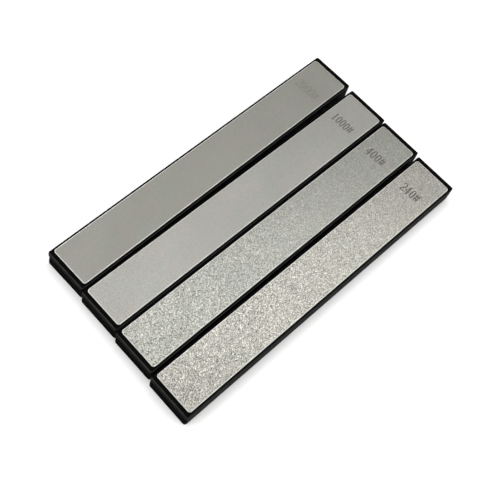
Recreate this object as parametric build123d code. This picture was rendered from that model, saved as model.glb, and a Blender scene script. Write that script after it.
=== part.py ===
from build123d import *

import os

# A set of four guided-sharpener diamond stones, laid side by side on a bench.
# Each stone is a moulded base, a sheet of adhesive, a steel strip and a diamond layer.
# Millimetres. +X runs along the stones to their marked ends, +Y to the finest stone, +Z up.
# The origin is the centre of the set's outline, on the surface that the stones rest on.

# Steel strip and what lies on and under it
STRIP_LENGTH = 150.0
STRIP_WIDTH = 18.5
STRIP_THICKNESS = 0.9
STRIP_CORNER_RADIUS = 1.1
STRIP_EDGE_BREAK = 0.12
DIAMOND_THICKNESS = 0.1
DIAMOND_MARGIN = 0.3
ADHESIVE_THICKNESS = 0.2
ADHESIVE_MARGIN = 0.5

# The strip is pushed towards the near end of its pocket when it is stuck down
STRIP_SEAT = -0.25

# Moulded base
BASE_HEIGHT = 8.4
END_LAND = 2.1
SIDE_WALL = 0.9
POCKET_DEPTH = 0.6
POCKET_END_CLEARANCE = 0.3
POCKET_SIDE_CLEARANCE = 0.1
BASE_CORNER_RADIUS = 1.2
BASE_TOP_ROUND = 0.3
BASE_BOTTOM_ROUND = 0.4

# V groove across each end, which the guide's clamp bites into
GROOVE_DEPTH = 1.2
LIP_ABOVE_GROOVE = 1.8
LIP_BELOW_GROOVE = 1.2
GROOVE_ROOT_ROUND = 0.4
GROOVE_LIP_ROUND = 0.5
END_TOP_ROUND = 0.8

# How near a corner's height must be to the height asked for when corners are picked
CORNER_TOLERANCE = 0.001

# How each stone lies beside the one before it: the gap between the two bases at their near
# ends, how far its near end stands back, and the small turn that opens the gap towards the
# far end. The first stone has nothing before it.
STONES = [
    {"grit": 2000, "gap": 0.0, "set_back": 0.0, "turn": 0.0},
    {"grit": 1000, "gap": 0.4, "set_back": 0.9, "turn": 0.7},
    {"grit": 400, "gap": 0.25, "set_back": 0.75, "turn": 0.12},
    {"grit": 240, "gap": 0.8, "set_back": 1.25, "turn": 0.16},
]

# Worked out from the sizes above
POCKET_LENGTH = STRIP_LENGTH + 2 * POCKET_END_CLEARANCE
POCKET_WIDTH = STRIP_WIDTH + 2 * POCKET_SIDE_CLEARANCE
BASE_LENGTH = POCKET_LENGTH + 2 * END_LAND
BASE_WIDTH = POCKET_WIDTH + 2 * SIDE_WALL
POCKET_FLOOR = BASE_HEIGHT - POCKET_DEPTH
STRIP_BOTTOM = POCKET_FLOOR + ADHESIVE_THICKNESS
STRIP_TOP = STRIP_BOTTOM + STRIP_THICKNESS
GROOVE_MOUTH_TOP = BASE_HEIGHT - LIP_ABOVE_GROOVE
GROOVE_MOUTH_BOTTOM = LIP_BELOW_GROOVE
GROOVE_ROOT_HEIGHT = (GROOVE_MOUTH_TOP + GROOVE_MOUTH_BOTTOM) / 2


def plate(length, width, thickness, corner_radius, bottom, along=0.0):
    """A flat plate with rounded corners in plan, at the height and place along X given."""
    outline = RectangleRounded(length, width, corner_radius)
    return Pos(along, 0, bottom) * extrude(outline, thickness)


def side_profile():
    """The base's side view, on the XZ plane, with a V groove in each end."""
    half = BASE_LENGTH / 2
    end_points = [
        (half, 0),
        (half, GROOVE_MOUTH_BOTTOM),
        (half - GROOVE_DEPTH, GROOVE_ROOT_HEIGHT),
        (half, GROOVE_MOUTH_TOP),
        (half, BASE_HEIGHT),
    ]
    other_end_points = [(-x, z) for x, z in reversed(end_points)]
    profile = make_face(Polyline(*end_points, *other_end_points, close=True))
    for height, radius in (
        (GROOVE_ROOT_HEIGHT, GROOVE_ROOT_ROUND),
        (GROOVE_MOUTH_BOTTOM, GROOVE_LIP_ROUND),
        (GROOVE_MOUTH_TOP, GROOVE_LIP_ROUND),
        (BASE_HEIGHT, END_TOP_ROUND),
    ):
        corners = [v for v in profile.vertices() if abs(v.Y - height) < CORNER_TOLERANCE]
        profile = fillet(corners, radius)
    return profile


def moulded_base():
    """A black moulded block with rounded edges, grooved ends and a shallow pocket on top."""
    block = plate(BASE_LENGTH, BASE_WIDTH, BASE_HEIGHT, BASE_CORNER_RADIUS, 0)
    block = fillet(block.faces().sort_by(Axis.Z)[-1].edges(), BASE_TOP_ROUND)
    block = fillet(block.faces().sort_by(Axis.Z)[0].edges(), BASE_BOTTOM_ROUND)
    side_view = extrude(Plane.XZ * side_profile(), BASE_WIDTH, both=True)
    pocket_radius = STRIP_CORNER_RADIUS + POCKET_SIDE_CLEARANCE
    pocket = plate(POCKET_LENGTH, POCKET_WIDTH, POCKET_DEPTH, pocket_radius, POCKET_FLOOR)
    return block & side_view - pocket


def adhesive_sheet():
    """The adhesive between the pocket's floor and the strip, a little smaller than the strip."""
    return plate(
        STRIP_LENGTH - 2 * ADHESIVE_MARGIN,
        STRIP_WIDTH - 2 * ADHESIVE_MARGIN,
        ADHESIVE_THICKNESS,
        STRIP_CORNER_RADIUS,
        POCKET_FLOOR,
        STRIP_SEAT,
    )


def steel_strip():
    """The steel strip, with its upper edge broken all round."""
    strip = plate(
        STRIP_LENGTH,
        STRIP_WIDTH,
        STRIP_THICKNESS,
        STRIP_CORNER_RADIUS,
        STRIP_BOTTOM,
        STRIP_SEAT,
    )
    return chamfer(strip.faces().sort_by(Axis.Z)[-1].edges(), STRIP_EDGE_BREAK)


def diamond_layer():
    """The diamond and nickel layer, which stops a little short of the strip's edge."""
    return plate(
        STRIP_LENGTH - 2 * DIAMOND_MARGIN,
        STRIP_WIDTH - 2 * DIAMOND_MARGIN,
        DIAMOND_THICKNESS,
        STRIP_CORNER_RADIUS - DIAMOND_MARGIN,
        STRIP_TOP,
        STRIP_SEAT,
    )


def stone_places():
    """Where each stone's middle lies, and how it is turned, before the set is centred."""
    near_corner = Location((0, 0, 0))
    corner_to_middle = Pos(BASE_LENGTH / 2, -BASE_WIDTH / 2, 0)
    places = []
    for stone in STONES:
        if places:
            step_across = BASE_WIDTH + stone["gap"]
            step = Pos(-stone["set_back"], -step_across, 0)
            near_corner = near_corner * step * Rot(0, 0, -stone["turn"])
        places.append(near_corner * corner_to_middle)
    return places


def centring_move(base, places):
    """The move that squares the fan of stones to X and puts its outline's centre on Z."""
    whole_turn = sum(stone["turn"] for stone in STONES)
    squared = [Rot(0, 0, whole_turn / 2) * place for place in places]
    outline = Compound(children=[place * base for place in squared]).bounding_box()
    middle = outline.center()
    return Pos(-middle.X, -middle.Y, 0) * Rot(0, 0, whole_turn / 2)


def main():
    """Write each piece of each stone to its own STEP file."""
    base = moulded_base()
    pieces = {
        "base": base,
        "adhesive": adhesive_sheet(),
        "steel_strip": steel_strip(),
        "diamond_layer": diamond_layer(),
    }
    places = stone_places()
    centre = centring_move(base, places)
    os.makedirs("parts", exist_ok=True)
    for stone, place in zip(STONES, places):
        for name, piece in pieces.items():
            node = f"{name}_{stone['grit']}"
            export_step(centre * place * piece, f"parts/{node}.step")
            print(node, round(piece.volume, 2))


main()
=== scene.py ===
"""Looks for a set of four diamond honing stones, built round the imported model.

Each stone is a black moulded base, a sheet of adhesive, a steel strip and a diamond layer.
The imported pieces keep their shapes. This script gives them their finishes, prints each
stone's grit number on its diamond layer, and sets the bench, the lights and the camera.
"""

import logging
import math
from dataclasses import dataclass, field
from enum import Enum
from typing import Any, ClassVar, Dict, List, Sequence, Tuple

import bmesh
import bpy
from mathutils import Matrix, Quaternion, Vector


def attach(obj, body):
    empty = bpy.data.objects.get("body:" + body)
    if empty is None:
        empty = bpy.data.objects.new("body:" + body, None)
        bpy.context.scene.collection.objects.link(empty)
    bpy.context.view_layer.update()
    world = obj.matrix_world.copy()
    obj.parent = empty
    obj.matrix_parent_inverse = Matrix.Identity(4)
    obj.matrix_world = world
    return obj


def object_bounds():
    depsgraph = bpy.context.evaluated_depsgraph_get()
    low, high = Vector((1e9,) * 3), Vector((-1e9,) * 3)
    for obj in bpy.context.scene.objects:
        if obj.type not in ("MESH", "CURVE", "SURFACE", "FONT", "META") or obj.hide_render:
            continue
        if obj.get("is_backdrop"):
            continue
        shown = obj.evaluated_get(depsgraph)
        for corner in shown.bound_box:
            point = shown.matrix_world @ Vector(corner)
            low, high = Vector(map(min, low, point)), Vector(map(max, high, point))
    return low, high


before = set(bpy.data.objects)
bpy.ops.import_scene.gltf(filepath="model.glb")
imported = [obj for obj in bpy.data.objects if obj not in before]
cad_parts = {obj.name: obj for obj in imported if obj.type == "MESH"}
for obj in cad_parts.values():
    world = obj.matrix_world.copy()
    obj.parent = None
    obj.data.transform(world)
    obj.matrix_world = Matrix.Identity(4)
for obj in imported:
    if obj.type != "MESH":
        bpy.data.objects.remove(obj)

LOG = logging.getLogger("honing_stones")
MM = 0.001
Colour = Tuple[float, float, float]
Point = Tuple[float, float]


class Grit(Enum):
    """The four grits, from the finest stone to the coarsest."""

    FINEST = 2000
    FINE = 1000
    MEDIUM = 400
    COARSE = 240


class Piece(Enum):
    """The pieces of one stone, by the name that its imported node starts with."""

    BASE = "base"
    ADHESIVE = "adhesive"
    STRIP = "steel_strip"
    LAYER = "diamond_layer"


# ---------------------------------------------------------------- shader helpers


class Shader:
    """A material's node tree with a Principled shader at its end.

    Attributes:
        LOWER_EDGE: The normal's height where a rounding fades in above a side.
        UPPER_EDGE: The normal's height where it fades out below the top.
        SIDE_EDGE: The normal's lean to the far left where the painted highlight on the near and right
            edges fades out.
    """

    LOWER_EDGE: ClassVar[Tuple[float, float]] = (0.50, 0.70)
    UPPER_EDGE: ClassVar[Tuple[float, float]] = (0.96, 0.995)
    SIDE_EDGE: ClassVar[Tuple[float, float]] = (0.0, 0.1)

    def __init__(self, name: str) -> None:
        """Make an empty material with a Principled shader.

        Args:
            name: The material's name.
        """
        self.material = bpy.data.materials.new(name)
        self.material.use_nodes = True
        self.tree = self.material.node_tree
        self.tree.nodes.clear()
        self.output = self.tree.nodes.new("ShaderNodeOutputMaterial")
        self.surface = self.tree.nodes.new("ShaderNodeBsdfPrincipled")
        self.join(self.surface.outputs["BSDF"], self.output.inputs["Surface"])
        self.place = self.tree.nodes.new("ShaderNodeTexCoord").outputs["Object"]

    def join(self, source: Any, target: Any) -> None:
        """Link one socket to another."""
        self.tree.links.new(source, target)

    def set(self, **values: Any) -> None:
        """Set plain values on the shader's own sockets.

        Args:
            values: Socket names, with underscores for spaces, and their values.
        """
        for name, value in values.items():
            self.surface.inputs[name.replace("_", " ")].default_value = value

    def noise(
        self,
        size: float,
        detail: float = 2.0,
        rough: float = 0.5,
        stretch: Sequence[float] = (1, 1, 1),
    ) -> Any:
        """Add soft noise.

        Args:
            size: The size of one blotch, in metres.
            detail: How many finer layers lie on it.
            rough: How strong the finer layers are.
            stretch: How much longer a blotch is along each axis.

        Returns:
            The noise's value socket, about 0.5 on average.
        """
        node = self.tree.nodes.new("ShaderNodeTexNoise")
        node.inputs["Scale"].default_value = 1.0 / size
        node.inputs["Detail"].default_value = detail
        node.inputs["Roughness"].default_value = rough
        self.join(self.stretched(stretch), node.inputs["Vector"])
        return node.outputs["Fac"]

    def grains(self, size: float) -> Tuple[Any, Any, Any]:
        """Add packed grains.

        Args:
            size: The distance from one grain to the next, in metres.

        Returns:
            Sockets with two random values for each grain and the distance from its middle.
        """
        node = self.tree.nodes.new("ShaderNodeTexVoronoi")
        node.inputs["Scale"].default_value = 1.0 / size
        self.join(self.place, node.inputs["Vector"])
        split = self.tree.nodes.new("ShaderNodeSeparateColor")
        self.join(node.outputs["Color"], split.inputs["Color"])
        return split.outputs["Red"], split.outputs["Green"], node.outputs["Distance"]

    def stretched(self, stretch: Sequence[float]) -> Any:
        """Stretch the place on the piece.

        Args:
            stretch: How much longer things get along each axis.

        Returns:
            The stretched place's socket.
        """
        if tuple(stretch) == (1, 1, 1):
            return self.place
        node = self.tree.nodes.new("ShaderNodeMapping")
        node.inputs["Scale"].default_value = [1.0 / share for share in stretch]
        self.join(self.place, node.inputs["Vector"])
        return node.outputs["Vector"]

    def spread(
        self, value: Any, low: float, high: float, start: float = 0.0, end: float = 1.0
    ) -> Any:
        """Map a value's range onto another one.

        Args:
            value: The socket to map.
            low: The result at start.
            high: The result at end.
            start: The value that gives low.
            end: The value that gives high.

        Returns:
            The mapped value's socket.
        """
        node = self.tree.nodes.new("ShaderNodeMapRange")
        node.inputs["From Min"].default_value = start
        node.inputs["From Max"].default_value = end
        node.inputs["To Min"].default_value = low
        node.inputs["To Max"].default_value = high
        self.join(value, node.inputs["Value"])
        return node.outputs["Result"]

    def math(self, operation: str, first: Any, second: Any) -> Any:
        """Combine two values.

        Args:
            operation: The sum to do, by Blender's name.
            first: The first value, a socket or a number.
            second: The second value, a socket or a number.

        Returns:
            The result's socket.
        """
        node = self.tree.nodes.new("ShaderNodeMath")
        node.operation = operation
        for socket, value in zip(node.inputs, (first, second)):
            if isinstance(value, (int, float)):
                socket.default_value = value
            else:
                self.join(value, socket)
        return node.outputs["Value"]

    def blend(self, share: Any, first: Colour, second: Colour) -> Any:
        """Blend two colours.

        Args:
            share: The socket that says how much of the second colour shows.
            first: The colour at 0.
            second: The colour at 1.

        Returns:
            The blended colour's socket.
        """
        node = self.tree.nodes.new("ShaderNodeMix")
        node.data_type = "RGBA"
        node.inputs[6].default_value = (*first, 1.0)
        node.inputs[7].default_value = (*second, 1.0)
        self.join(share, node.inputs["Factor"])
        return node.outputs[2]

    def over(self, share: Any, under: Any, colour: Colour) -> Any:
        """Lay a plain colour over another one.

        Args:
            share: The socket that says how much of the plain colour shows.
            under: The socket of the colour under it.
            colour: The plain colour.

        Returns:
            The result's socket.
        """
        node = self.tree.nodes.new("ShaderNodeMix")
        node.data_type = "RGBA"
        self.join(under, node.inputs[6])
        node.inputs[7].default_value = (*colour, 1.0)
        self.join(share, node.inputs["Factor"])
        return node.outputs[2]

    def lengthwise(self, start: float, end: float, near: float, far: float) -> Any:
        """Add a value that changes along the stones.

        Args:
            start: Where it starts to change, in metres from the set's middle.
            end: Where it stops changing.
            near: Its value at the near end.
            far: Its value at the far end.

        Returns:
            The value's socket.
        """
        split = self.tree.nodes.new("ShaderNodeSeparateXYZ")
        self.join(self.place, split.inputs["Vector"])
        return self.spread(split.outputs["X"], near, far, start, end)

    def rounded_top(self) -> Any:
        """Find where the surface rounds over from its top to a near or right side.

        Returns:
            The socket of a value that is 1 on the rounding and 0 elsewhere.
        """
        place = self.tree.nodes.new("ShaderNodeTexCoord")
        split = self.tree.nodes.new("ShaderNodeSeparateXYZ")
        self.join(place.outputs["Normal"], split.inputs["Vector"])
        below = self.spread(split.outputs["Z"], 0, 1, *self.LOWER_EDGE)
        above = self.spread(split.outputs["Z"], 1, 0, *self.UPPER_EDGE)
        towards_far_left = self.math("ADD", split.outputs["X"], split.outputs["Y"])
        rounding = self.math("MULTIPLY", below, above)
        return self.math("MULTIPLY", rounding, self.spread(towards_far_left, 1, 0, *self.SIDE_EDGE))

    def brighten(self, colour: Any, amount: Any) -> Any:
        """Multiply a colour by a value.

        Args:
            colour: The colour's socket.
            amount: The value's socket.

        Returns:
            The result's socket.
        """
        node = self.tree.nodes.new("ShaderNodeVectorMath")
        node.operation = "SCALE"
        self.join(colour, node.inputs["Vector"])
        self.join(amount, node.inputs["Scale"])
        return node.outputs["Vector"]

    def relief(self, height: Any, depth: float, strength: float = 1.0) -> None:
        """Raise the surface with a height value.

        Args:
            height: The height socket, from 0 to 1.
            depth: The height in metres that 1 stands for.
            strength: How much of the relief shows.
        """
        node = self.tree.nodes.new("ShaderNodeBump")
        node.inputs["Strength"].default_value = strength
        node.inputs["Distance"].default_value = depth
        self.join(height, node.inputs["Height"])
        self.join(node.outputs["Normal"], self.surface.inputs["Normal"])


# ---------------------------------------------------------------- finishes


@dataclass(frozen=True)
class DiamondFinish:
    """Diamond grains held in a nickel plating.

    Attributes:
        DARKEST: The least brightness that a spot of the plating keeps under the grain.
        grit: The stone's grit.
        cool: The plating's colour where it looks slightly green.
        warm: The plating's colour where it looks slightly pink.
        grain: The distance between grains, in metres.
        grain_contrast: How much lighter or darker one grain is than the next.
        painted_glint: How much brighter a few random grains are painted: a painted glint, standing in
            for facets that catch the light.
        dark_grains: How much darker a few random grains are.
        speckle_contrast: How strong the finer speckle over the grains is.
        mottle: How strong the wide, soft patches are.
        roughness: The plating's mean roughness.
        grain_height: How far the grains stand out, in metres.
        near_glint_share: How much of the grain, with its painted glint, shows at the near end. It is
            painted stronger where the highlight falls on the stone, as painted light.
        far_glint_share: How much of it shows at the far end, away from the highlight.
        fade: Where it starts and stops fading, in metres from the set's middle.
    """

    DARKEST: ClassVar[float] = 0.08

    grit: Grit
    cool: Colour
    warm: Colour
    grain: float
    grain_contrast: float
    painted_glint: float
    dark_grains: float
    speckle_contrast: float
    mottle: float
    roughness: float
    grain_height: float
    near_glint_share: float
    far_glint_share: float
    fade: Tuple[float, float]

    def build(self) -> bpy.types.Material:
        """Make the material.

        Returns:
            The finished material.
        """
        shader = Shader(f"diamond_{self.grit.value}")
        tone, facet, distance = shader.grains(self.grain)
        speckle = shader.noise(self.grain * 0.6, detail=2.0, rough=0.7)
        patches = shader.noise(9 * MM, detail=3.0, rough=0.6)
        tint = shader.blend(shader.spread(patches, 0, 1, 0.38, 0.62), self.cool, self.warm)
        grain_light = shader.spread(tone, 1 - self.grain_contrast, 1 + self.grain_contrast)
        speckle_light = shader.spread(
            speckle, 1 - self.speckle_contrast, 1 + self.speckle_contrast, 0.3, 0.7
        )
        wide = shader.noise(22 * MM, detail=2.0, rough=0.5)
        wide_light = shader.spread(wide, 1 - self.mottle, 1 + self.mottle, 0.35, 0.65)
        # Painted glint: a few random grains are lightened in the colour, as if their facets caught the
        # light.
        grain_light = shader.math("ADD", grain_light, shader.spread(facet, 0, self.painted_glint, 0.86, 0.93))
        grain_light = shader.math("SUBTRACT", grain_light, shader.spread(facet, self.dark_grains, 0, 0.08, 0.15))
        # Painted light: the grain and its painted glint are stronger towards each stone's highlight and
        # fade away from it along the stone.
        share = shader.lengthwise(*self.fade, self.near_glint_share, self.far_glint_share)
        contrast = shader.math("SUBTRACT", shader.math("MULTIPLY", grain_light, speckle_light), 1.0)
        faded = shader.math("ADD", shader.math("MULTIPLY", contrast, share), 1.0)
        light = shader.math("MULTIPLY", shader.math("MAXIMUM", faded, self.DARKEST), wide_light)
        shader.join(shader.brighten(tint, light), shader.surface.inputs["Base Color"])
        shader.join(
            shader.spread(tone, self.roughness - 0.07, self.roughness + 0.07),
            shader.surface.inputs["Roughness"],
        )
        grains = shader.math("MULTIPLY", shader.spread(distance, 1, 0, 0, 0.7), share)
        shader.relief(grains, self.grain_height)
        shader.set(Metallic=0.75, Specular_IOR_Level=0.5)
        return shader.material


@dataclass(frozen=True)
class MouldedPlastic:
    """Black moulded plastic with a fine skin, fine dust and a painted highlight on its near and right
    top edges.

    Attributes:
        colour: The plastic's own colour.
        dusty: Its colour where fine dust lies on it.
        painted_highlight: Its colour on the rounding of its near and right top edges: a painted
            highlight where those edges catch the light.
        roughness: Its mean roughness.
    """

    colour: Colour = (0.0010, 0.0010, 0.0009)
    dusty: Colour = (0.0030, 0.0030, 0.0027)
    painted_highlight: Colour = (0.0300, 0.0300, 0.0268)
    roughness: float = 0.58

    def build(self) -> bpy.types.Material:
        """Make the material.

        Returns:
            The finished material.
        """
        shader = Shader("black_moulded_plastic")
        dust = shader.noise(3 * MM, detail=5.0, rough=0.65)
        skin = shader.noise(0.25 * MM, detail=2.0, rough=0.5)
        uneven = shader.spread(dust, 0.55, 1.0, 0.35, 0.6)
        # Painted highlight: the rounding of the near and right top edges is lightened in the colour,
        # patchy with the dust.
        highlight_mask = shader.math("MULTIPLY", shader.rounded_top(), uneven)
        plain = shader.blend(shader.spread(dust, 0, 1, 0.45, 0.75), self.colour, self.dusty)
        shader.join(shader.over(highlight_mask, plain, self.painted_highlight), shader.surface.inputs["Base Color"])
        shader.join(
            shader.spread(dust, self.roughness - 0.06, self.roughness + 0.12, 0.3, 0.7),
            shader.surface.inputs["Roughness"],
        )
        shader.relief(skin, 0.012 * MM, 0.6)
        shader.set(Specular_IOR_Level=0.02)
        return shader.material


@dataclass(frozen=True)
class StripSteel:
    """Bare steel at the strip's edge, ground along its length.

    Attributes:
        dark: The steel's colour where it is slightly stained.
        light: Its colour where it is clean.
        roughness: Its mean roughness.
    """

    dark: Colour = (0.50, 0.50, 0.48)
    light: Colour = (0.60, 0.60, 0.575)
    roughness: float = 0.42

    def build(self) -> bpy.types.Material:
        """Make the material.

        Returns:
            The finished material.
        """
        shader = Shader("ground_steel")
        scratches = shader.noise(0.25 * MM, detail=3.0, rough=0.6, stretch=(14, 1, 1))
        stain = shader.noise(6 * MM, detail=3.0, rough=0.6)
        shader.join(
            shader.blend(shader.spread(stain, 0, 1, 0.35, 0.65), self.dark, self.light),
            shader.surface.inputs["Base Color"],
        )
        shader.join(
            shader.spread(scratches, self.roughness - 0.08, self.roughness + 0.12),
            shader.surface.inputs["Roughness"],
        )
        shader.relief(scratches, 0.01 * MM, 0.5)
        shader.set(Metallic=1.0)
        return shader.material


@dataclass(frozen=True)
class AdhesiveFilm:
    """The pale adhesive sheet under the strip.

    Attributes:
        pale: The sheet's colour where it is fresh.
        aged: Its colour where it has yellowed.
    """

    pale: Colour = (0.55, 0.53, 0.48)
    aged: Colour = (0.42, 0.38, 0.30)

    def build(self) -> bpy.types.Material:
        """Make the material.

        Returns:
            The finished material.
        """
        shader = Shader("adhesive_film")
        age = shader.noise(2 * MM, detail=3.0)
        shader.join(shader.blend(age, self.pale, self.aged), shader.surface.inputs["Base Color"])
        shader.join(shader.spread(age, 0.5, 0.8), shader.surface.inputs["Roughness"])
        return shader.material


@dataclass(frozen=True)
class PrintedMark:
    """The thin grey-brown print of a grit number.

    Attributes:
        grit: The stone's grit.
        ink: The print's colour where it lies thick.
        worn: Its colour where the grains show through.
    """

    grit: Grit
    ink: Colour
    worn: Colour

    def build(self) -> bpy.types.Material:
        """Make the material.

        Returns:
            The finished material.
        """
        shader = Shader(f"mark_print_{self.grit.value}")
        wear = shader.noise(0.3 * MM, detail=3.0, rough=0.7)
        shader.join(
            shader.blend(shader.spread(wear, 0, 1, 0.42, 0.72), self.ink, self.worn),
            shader.surface.inputs["Base Color"],
        )
        shader.join(shader.spread(wear, 0.5, 0.75), shader.surface.inputs["Roughness"])
        shader.set(Metallic=0.3)
        return shader.material


@dataclass(frozen=True)
class PaleBench:
    """The plain pale surface that the stones lie on.

    Attributes:
        light: The surface's colour.
        shade: Its colour in slightly darker patches.
    """

    light: Colour = (0.93, 0.93, 0.93)
    shade: Colour = (0.90, 0.90, 0.90)

    def build(self) -> bpy.types.Material:
        """Make the material.

        Returns:
            The finished material.
        """
        shader = Shader("pale_bench")
        cloud = shader.noise(120 * MM, detail=2.0)
        shader.join(shader.blend(cloud, self.light, self.shade), shader.surface.inputs["Base Color"])
        shader.set(Roughness=0.85, Specular_IOR_Level=0.2)
        return shader.material


# ---------------------------------------------------------------- grit numbers


@dataclass(frozen=True)
class Stroke:
    """One pen stroke of a figure: its middle line and its width at each point.

    Attributes:
        points: The middle line, in figure units, where a figure is 1 high.
        widths: The stroke's width at each point, in the same units.
        closed: Whether the last point joins the first.
    """

    points: Tuple[Point, ...]
    widths: Tuple[float, ...]
    closed: bool = False


@dataclass(frozen=True)
class Figures:
    """Narrow upright figures with thick sides, hairlines and small feet.

    Attributes:
        width: A figure's width, as a share of its height.
        stem: The width of a thick stroke.
        hairline: The width of a thin stroke.
        fullness: The power that shapes an oval's sides. A lower one makes them fuller.
        steps: How many points a full turn has.
    """

    width: float = 0.43
    stem: float = 0.11
    hairline: float = 0.07
    fullness: float = 0.85
    steps: int = 36

    def straight(self, start: Point, end: Point, width: float) -> Stroke:
        """A straight stroke of one width."""
        return Stroke((start, end), (width, width))

    def zero(self) -> List[Stroke]:
        """Draw an upright oval with thick sides.

        Returns:
            The figure's strokes.
        """
        across = self.width / 2 - self.stem / 2
        up = 0.5 - self.hairline / 2
        points, widths = [], []
        for step in range(self.steps):
            turn = 2 * math.pi * step / self.steps
            side = abs(math.cos(turn))
            reach = math.copysign(side ** self.fullness, math.cos(turn))
            points.append((across * reach, 0.5 + up * math.sin(turn)))
            widths.append(self.hairline + (self.stem - self.hairline) * side)
        return [Stroke(tuple(points), tuple(widths), True)]

    def one(self) -> List[Stroke]:
        """Draw a thick stem with a flag and a foot.

        Returns:
            The figure's strokes.
        """
        foot = self.hairline
        return [
            self.straight((0, foot / 2), (0, 1), self.stem),
            Stroke(
                ((-0.13, 0.86), (-0.07, 0.89), (0, 0.96)),
                (0.03, self.hairline, self.hairline),
            ),
            self.straight((-0.14, foot / 2), (0.14, foot / 2), foot),
        ]

    def two(self) -> List[Stroke]:
        """Draw a hooked bow on a sloping stroke and a flat base.

        Returns:
            The figure's strokes.
        """
        across = self.width / 2
        radius = across - self.stem / 2
        middle = 0.72
        points = [(-radius, middle), (-radius + 0.02, middle + 0.06)]
        widths = [self.stem * 1.35, self.stem]
        for step in range(9):
            turn = math.radians(140 - 20 * step)
            points.append((radius * math.cos(turn), middle + 0.24 * math.sin(turn)))
            widths.append(self.hairline + (self.stem - self.hairline) * max(0.0, math.cos(turn)))
        points += [(0.06, 0.42), (-0.09, 0.24), (-across + 0.05, 0.07)]
        widths += [self.stem * 0.8, self.hairline, self.hairline]
        base = Stroke(
            ((-across + 0.02, 0.05), (0.0, 0.05), (across - 0.02, 0.05), (across, 0.17)),
            (self.stem, self.stem, self.stem, self.hairline),
        )
        return [Stroke(tuple(points), tuple(widths)), base]

    def four(self) -> List[Stroke]:
        """Draw a sloping hairline, a crossbar, a thick stem and a foot.

        Returns:
            The figure's strokes.
        """
        across = self.width / 2
        bar, stem_at, foot = 0.3, 0.06, self.hairline
        return [
            self.straight((stem_at, foot / 2), (stem_at, 1), self.stem),
            self.straight((stem_at, 0.98), (-across, bar), self.hairline),
            self.straight((-across, bar), (across, bar), self.hairline * 1.1),
            self.straight((stem_at - 0.12, foot / 2), (stem_at + 0.12, foot / 2), foot),
        ]

    def hash_sign(self) -> List[Stroke]:
        """Draw two hairlines crossed by two thick bars.

        Returns:
            The sign's strokes.
        """
        across, gap, slope = self.width / 2 + 0.02, 0.115, 0.03
        strokes = []
        for side in (-gap, gap):
            foot, head = (side - slope, 0.06), (side + slope, 0.96)
            strokes.append(self.straight(foot, head, self.hairline * 1.1))
        for height in (0.34, 0.68):
            left, right = (-across, height), (across, height)
            strokes.append(self.straight(left, right, self.stem * 0.95))
        return strokes

    def strokes(self, character: str) -> List[Stroke]:
        """Draw one character.

        Args:
            character: 0, 1, 2, 4 or the number sign.

        Returns:
            Its strokes, centred on its own width.
        """
        drawn = {"0": self.zero, "1": self.one, "2": self.two, "4": self.four, "#": self.hash_sign}
        return drawn[character]()


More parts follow.
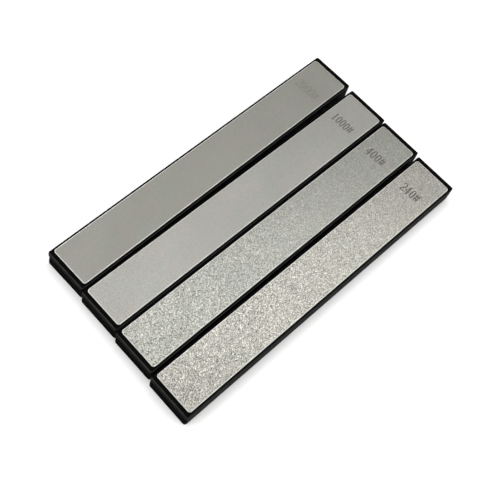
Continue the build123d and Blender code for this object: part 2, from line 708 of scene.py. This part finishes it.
@dataclass
class GritMark:
    """A stone's printed grit number, close to its far end.

    Attributes:
        grit: The stone's grit.
        finish: The print's finish.
        height: The figures' height, in metres.
        pitch: The distance from one character to the next, in metres.
        from_far_end: From the diamond layer's far edge to the top of the figures, in metres.
        from_middle: How far the number's middle stands to the stone's left, in metres.
        thickness: The print's thickness, in metres.
        lift: How much higher each stroke lies than the one before it, in metres.
        slant: How far the figures lean to the right, in degrees.
        figures: The figures' shapes.
    """

    grit: Grit
    finish: PrintedMark
    height: float = 4.3 * MM
    pitch: float = 2.25 * MM
    from_far_end: float = 12.3 * MM
    from_middle: float = 0.4 * MM
    thickness: float = 0.012 * MM
    lift: float = 0.002 * MM
    slant: float = 0.0
    figures: Figures = field(default_factory=Figures)

    def outline(self, stroke: Stroke) -> Tuple[List[Point], List[Point]]:
        """Find the two sides of a stroke.

        Args:
            stroke: The stroke to widen.

        Returns:
            The points on its left and on its right.
        """
        left, right = [], []
        line = stroke.points
        last = len(line) - 1
        for index, (x, y) in enumerate(line):
            before = line[index - 1] if stroke.closed or index else line[0]
            after = line[(index + 1) % len(line)] if stroke.closed or index < last else line[last]
            along = Vector((after[0] - before[0], after[1] - before[1])).normalized()
            side = Vector((-along.y, along.x)) * stroke.widths[index] / 2
            left.append((x + side.x, y + side.y))
            right.append((x - side.x, y - side.y))
        return left, right

    def add_stroke(
        self, mesh: bmesh.types.BMesh, stroke: Stroke, across: float, level: float
    ) -> None:
        """Add one stroke to the mesh as a thin closed slab.

        Args:
            mesh: The mesh to add to. X runs across the text and Y up it.
            stroke: The stroke.
            across: Where the character's middle stands along the text, in metres.
            level: The height of the slab's top, in metres.
        """
        left, right = self.outline(stroke)
        lean = math.tan(math.radians(self.slant))

        def corner(point: Point, height: float) -> bmesh.types.BMVert:
            """Add a vertex of the slab."""
            up = point[1] * self.height
            sideways = across + point[0] * self.height + lean * (up - self.height / 2)
            return mesh.verts.new((sideways, up, height))

        bottom = -self.thickness / 2
        rows = [
            (corner(a, level), corner(b, level), corner(b, bottom), corner(a, bottom))
            for a, b in zip(left, right)
        ]
        pairs = list(zip(rows, rows[1:] + rows[:1] if stroke.closed else rows[1:]))
        for first, second in pairs:
            for side in range(4):
                other = (side + 1) % 4
                mesh.faces.new((first[side], first[other], second[other], second[side]))
        if not stroke.closed:
            mesh.faces.new(rows[0])
            mesh.faces.new(tuple(reversed(rows[-1])))

    def build(self, face: "StoneFace") -> bpy.types.Object:
        """Print the number on the stone.

        Args:
            face: The diamond layer's top face.

        Returns:
            The printed number, lying on its stone's diamond layer.
        """
        text = f"{self.grit.value}#"
        mesh = bmesh.new()
        level = self.thickness
        for place, character in enumerate(text):
            across = (place - (len(text) - 1) / 2) * self.pitch
            for stroke in self.figures.strokes(character):
                self.add_stroke(mesh, stroke, across, level)
                level += self.lift
        bmesh.ops.recalc_face_normals(mesh, faces=mesh.faces[:])
        data = bpy.data.meshes.new(f"grit_mark_{self.grit.value}")
        mesh.to_mesh(data)
        mesh.free()
        origin = (
            face.centre
            + face.along * (face.length / 2 - self.from_far_end - self.height)
            + face.left * self.from_middle
        )
        data.transform(Matrix.Translation(origin) @ face.turn())
        data.materials.append(self.finish.build())
        mark = bpy.data.objects.new(f"grit_mark_{self.grit.value}", data)
        bpy.context.scene.collection.objects.link(mark)
        return mark


# ---------------------------------------------------------------- one stone


@dataclass(frozen=True)
class StoneFace:
    """The top face of a stone's diamond layer, as it lies in the set.

    Attributes:
        TOP_TOLERANCE: How far below its top a vertex still counts as on the face, in metres.
        centre: The face's middle.
        along: The direction to the far end.
        left: The direction to the stone's left side.
        length: The face's length, in metres.
    """

    TOP_TOLERANCE: ClassVar[float] = 0.01 * MM

    centre: Vector
    along: Vector
    left: Vector
    length: float

    @staticmethod
    def of_node(node: bpy.types.Object) -> "StoneFace":
        """Read the face from a packed diamond layer.

        Args:
            node: The layer's object.

        Returns:
            Its top face.
        """
        corners = [vertex.co.copy() for vertex in node.data.vertices]
        top = max(corner.z for corner in corners)
        ring = [corner for corner in corners if corner.z > top - StoneFace.TOP_TOLERANCE]
        centre = sum(ring, Vector()) / len(ring)
        near_left = min(ring, key=lambda corner: corner.x - corner.y)
        far_left = max(ring, key=lambda corner: corner.x + corner.y)
        along = (far_left - near_left).normalized()
        reach = max((corner - centre).dot(along) for corner in ring)
        return StoneFace(centre, along, Vector((-along.y, along.x, 0)), 2 * reach)

    def turn(self) -> Matrix:
        """Find the turn that lays text across the stone, with its top towards the far end.

        Returns:
            The turn, from the text's axes to the set's.
        """
        across = -self.left
        return Matrix(
            (
                (across.x, self.along.x, 0, 0),
                (across.y, self.along.y, 0, 0),
                (0, 0, 1, 0),
                (0, 0, 0, 1),
            )
        )


@dataclass
class HoningStone:
    """One stone: its base, adhesive, steel strip, diamond layer and printed number.

    Attributes:
        grit: The stone's grit.
        diamond: Its diamond layer's finish.
        mark: Its printed number.
    """

    grit: Grit
    diamond: DiamondFinish
    mark: GritMark

    @property
    def body(self) -> str:
        """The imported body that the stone's pieces ride on."""
        return f"stone_{self.grit.value}"

    def node(self, piece: Piece) -> bpy.types.Object:
        """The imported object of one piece."""
        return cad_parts[f"{piece.value}_{self.grit.value}"]

    def dress(self, finishes: Dict[Piece, bpy.types.Material]) -> None:
        """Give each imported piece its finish.

        Args:
            finishes: The finishes that all stones share, by piece.
        """
        for piece in Piece:
            material = finishes.get(piece) or self.diamond.build()
            node = self.node(piece)
            for slot in node.material_slots:
                slot.material = material
            LOG.info("%s_%s dressed in %s", piece.value, self.grit.value, material.name)

    def add_mark(self) -> None:
        """Print the grit number and let it ride on the stone."""
        printed = self.mark.build(StoneFace.of_node(self.node(Piece.LAYER)))
        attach(printed, self.body)
        LOG.info("%s printed, %d faces", printed.name, len(printed.data.polygons))


@dataclass
class StoneSet:
    """The four stones, side by side.

    Attributes:
        stones: The stones, from the finest to the coarsest.
    """

    stones: List[HoningStone]

    def build(self) -> None:
        """Dress and mark every stone."""
        shared = {
            Piece.BASE: MouldedPlastic().build(),
            Piece.ADHESIVE: AdhesiveFilm().build(),
            Piece.STRIP: StripSteel().build(),
        }
        for stone in self.stones:
            stone.dress(shared)
            stone.add_mark()

    @staticmethod
    def standard() -> "StoneSet":
        """Make the set with each grit's own finish and number.

        Returns:
            The set, not built yet.
        """
        diamonds = {
            Grit.FINEST: DiamondFinish(
                Grit.FINEST, cool=(0.224, 0.230, 0.204), warm=(0.235, 0.226, 0.206),
                grain=0.34 * MM, grain_contrast=0.10, painted_glint=0.04, dark_grains=0.03,
                speckle_contrast=0.06, mottle=0.03, roughness=0.58, grain_height=0.001 * MM,
                near_glint_share=1.0, far_glint_share=1.0, fade=(-75 * MM, 75 * MM),
            ),
            Grit.FINE: DiamondFinish(
                Grit.FINE, cool=(0.245, 0.248, 0.229), warm=(0.256, 0.246, 0.229),
                grain=0.36 * MM, grain_contrast=0.22, painted_glint=0.15, dark_grains=0.10,
                speckle_contrast=0.12, mottle=0.03, roughness=0.46, grain_height=0.004 * MM,
                near_glint_share=1.0, far_glint_share=0.4, fade=(-70 * MM, -25 * MM),
            ),
            Grit.MEDIUM: DiamondFinish(
                Grit.MEDIUM, cool=(0.213, 0.219, 0.198), warm=(0.220, 0.217, 0.196),
                grain=0.34 * MM, grain_contrast=0.38, painted_glint=0.62, dark_grains=0.30,
                speckle_contrast=0.24, mottle=0.03, roughness=0.36, grain_height=0.010 * MM,
                near_glint_share=1.5, far_glint_share=0.52, fade=(-45 * MM, 35 * MM),
            ),
            Grit.COARSE: DiamondFinish(
                Grit.COARSE, cool=(0.233, 0.231, 0.208), warm=(0.239, 0.231, 0.208),
                grain=0.34 * MM, grain_contrast=0.46, painted_glint=0.95, dark_grains=0.40,
                speckle_contrast=0.30, mottle=0.03, roughness=0.34, grain_height=0.016 * MM,
                near_glint_share=1.2, far_glint_share=0.5, fade=(-10 * MM, 60 * MM),
            ),
        }
        prints = {
            Grit.FINEST: PrintedMark(Grit.FINEST, ink=(0.136, 0.134, 0.110), worn=(0.178, 0.173, 0.147)),
            Grit.FINE: PrintedMark(Grit.FINE, ink=(0.050, 0.045, 0.035), worn=(0.110, 0.100, 0.082)),
            Grit.MEDIUM: PrintedMark(Grit.MEDIUM, ink=(0.054, 0.052, 0.041), worn=(0.108, 0.104, 0.087)),
            Grit.COARSE: PrintedMark(Grit.COARSE, ink=(0.026, 0.022, 0.017), worn=(0.070, 0.062, 0.052)),
        }
        sizes = {
            Grit.FINEST: {"height": 4.8 * MM, "pitch": 2.4 * MM, "slant": 8.0},
            Grit.FINE: {},
            Grit.MEDIUM: {"height": 4.5 * MM, "pitch": 2.45 * MM},
            Grit.COARSE: {"height": 4.5 * MM, "pitch": 2.45 * MM},
        }
        marks = {grit: GritMark(grit, prints[grit], **sizes[grit]) for grit in Grit}
        return StoneSet([HoningStone(grit, diamonds[grit], marks[grit]) for grit in Grit])


# ---------------------------------------------------------------- bench, lights and camera


@dataclass(frozen=True)
class SoftLight:
    """A flat soft light that points at the stones.

    Attributes:
        name: The light's name.
        azimuth: Where it stands, in degrees. 0 is at -Y and 90 at +X.
        elevation: How high it stands, in degrees.
        distance: How far it stands from the set's middle, in metres.
        width: Its size across the line from the set, level with the bench, in metres.
        depth: Its size the other way, in metres.
        power: Its power, in watts.
    """

    name: str
    azimuth: float
    elevation: float
    distance: float
    width: float
    depth: float
    power: float

    def build(self, middle: Vector) -> None:
        """Hang the light.

        Args:
            middle: The point that it shines at.
        """
        data = bpy.data.lights.new(self.name, "AREA")
        data.shape = "RECTANGLE"
        data.size, data.size_y = self.width, self.depth
        data.energy = self.power
        light = bpy.data.objects.new(self.name, data)
        away = direction(self.azimuth, self.elevation)
        light.location = middle + away * self.distance
        light.rotation_mode = "QUATERNION"
        light.rotation_quaternion = (-away).to_track_quat("-Z", "Y")
        bpy.context.scene.collection.objects.link(light)
        LOG.info("light %s", self.name)


@dataclass(frozen=True)
class StillCamera:
    """The camera, aimed at a point on the set.

    Attributes:
        azimuth: Where it stands, in degrees. 0 is at -Y and 90 at +X.
        elevation: How high it stands, in degrees.
        roll: How far it is turned about its own axis, in degrees.
        distance: From the point that it aims at, in metres.
        aim: The point that it aims at, from the set's middle, in metres.
        lens: Its focal length, in millimetres, on a sensor 36 wide.
        shift: How far the picture is shifted right and up, as a share of its width.
    """

    azimuth: float = -59.56
    elevation: float = 60.0
    roll: float = 18.1
    distance: float = 374.4 * MM
    aim: Tuple[float, float, float] = (-2.7 * MM, 9.2 * MM, 0.0)
    lens: float = 65.35
    shift: Tuple[float, float] = (0.02, -0.08)

    def build(self, middle: Vector) -> None:
        """Set up the camera.

        Args:
            middle: The set's middle.
        """
        data = bpy.data.cameras.new("still_camera")
        data.sensor_width = 36.0
        data.lens = self.lens
        data.shift_x, data.shift_y = self.shift
        data.clip_start, data.clip_end = 0.01, 20.0
        camera = bpy.data.objects.new("still_camera", data)
        away = direction(self.azimuth, self.elevation)
        level = (-away).to_track_quat("-Z", "Y")
        camera.rotation_mode = "QUATERNION"
        camera.rotation_quaternion = level @ Quaternion((0, 0, 1), math.radians(self.roll))
        camera.location = middle + Vector(self.aim) + away * self.distance
        bpy.context.scene.collection.objects.link(camera)
        bpy.context.scene.camera = camera
        LOG.info("camera at %s", tuple(round(value, 3) for value in camera.location))


@dataclass
class Studio:
    """The pale bench, the soft lights, the light all round and the camera.

    Attributes:
        bench_side: The bench's side, in metres.
        surround: The colour of the light all round.
        horizon_strength: Its strength from the sides.
        overhead_strength: Its strength from overhead.
        fade: The height, from 0 to 1, where the first starts to give way to the second,
            and the height where it has.
        lights: The soft lights.
        camera: The camera.
    """

    bench_side: float = 6.0
    surround: Colour = (1.0, 0.995, 0.98)
    horizon_strength: float = 0.95
    overhead_strength: float = 0.50
    fade: Tuple[float, float] = (0.1, 0.7)
    lights: Tuple[SoftLight, ...] = (
        SoftLight("key_softbox", 139.0, 70.0, 0.9, 1.2, 0.18, 3.9),
        SoftLight("side_fill", 14.0, 46.0, 1.0, 0.7, 0.7, 3.8),
        SoftLight("end_fill", -108.0, 52.0, 1.0, 0.7, 0.7, 4.5),
    )
    camera: StillCamera = field(default_factory=StillCamera)

    def build(self) -> None:
        """Set the bench, the lights and the camera round the set."""
        low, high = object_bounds()
        middle = (low + high) / 2
        self.lay_bench(low.z)
        self.light_all_round()
        for light in self.lights:
            light.build(middle)
        self.camera.build(middle)

    def lay_bench(self, height: float) -> None:
        """Lay the bench under the set.

        Args:
            height: The height of the bench's top, in metres.
        """
        half = self.bench_side / 2
        data = bpy.data.meshes.new("pale_bench")
        corners = [(x * half, y * half, height) for x, y in ((-1, -1), (1, -1), (1, 1), (-1, 1))]
        data.from_pydata(corners, [], [(0, 1, 2, 3)])
        data.materials.append(PaleBench().build())
        bench = bpy.data.objects.new("pale_bench", data)
        bpy.context.scene.collection.objects.link(bench)
        bench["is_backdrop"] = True
        LOG.info("%s laid", bench.name)

    def light_all_round(self) -> None:
        """Light the set from all round, more from the sides than from overhead."""
        world = bpy.data.worlds.new("soft_surround")
        world.use_nodes = True
        tree = world.node_tree
        background = tree.nodes["Background"]
        background.inputs["Color"].default_value = (*self.surround, 1.0)
        place = tree.nodes.new("ShaderNodeTexCoord")
        split = tree.nodes.new("ShaderNodeSeparateXYZ")
        fade = tree.nodes.new("ShaderNodeMapRange")
        fade.inputs["From Min"].default_value, fade.inputs["From Max"].default_value = self.fade
        fade.inputs["To Min"].default_value = self.horizon_strength
        fade.inputs["To Max"].default_value = self.overhead_strength
        tree.links.new(place.outputs["Generated"], split.inputs["Vector"])
        tree.links.new(split.outputs["Z"], fade.inputs["Value"])
        tree.links.new(fade.outputs["Result"], background.inputs["Strength"])
        bpy.context.scene.world = world
        bpy.context.scene.view_settings.view_transform = "Standard"


def direction(azimuth: float, elevation: float) -> Vector:
    """Find the direction from the set to a place round it.

    Args:
        azimuth: In degrees. 0 is at -Y and 90 at +X.
        elevation: In degrees above the bench.

    Returns:
        A unit vector.
    """
    turn, rise = math.radians(azimuth), math.radians(elevation)
    level = math.cos(rise)
    return Vector((math.sin(turn) * level, -math.cos(turn) * level, math.sin(rise)))


def main() -> None:
    """Build the set and its studio."""
    logging.basicConfig(level=logging.INFO, format="%(name)s: %(message)s")
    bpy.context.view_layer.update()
    StoneSet.standard().build()
    Studio().build()


if __name__ == "__main__":
    main()
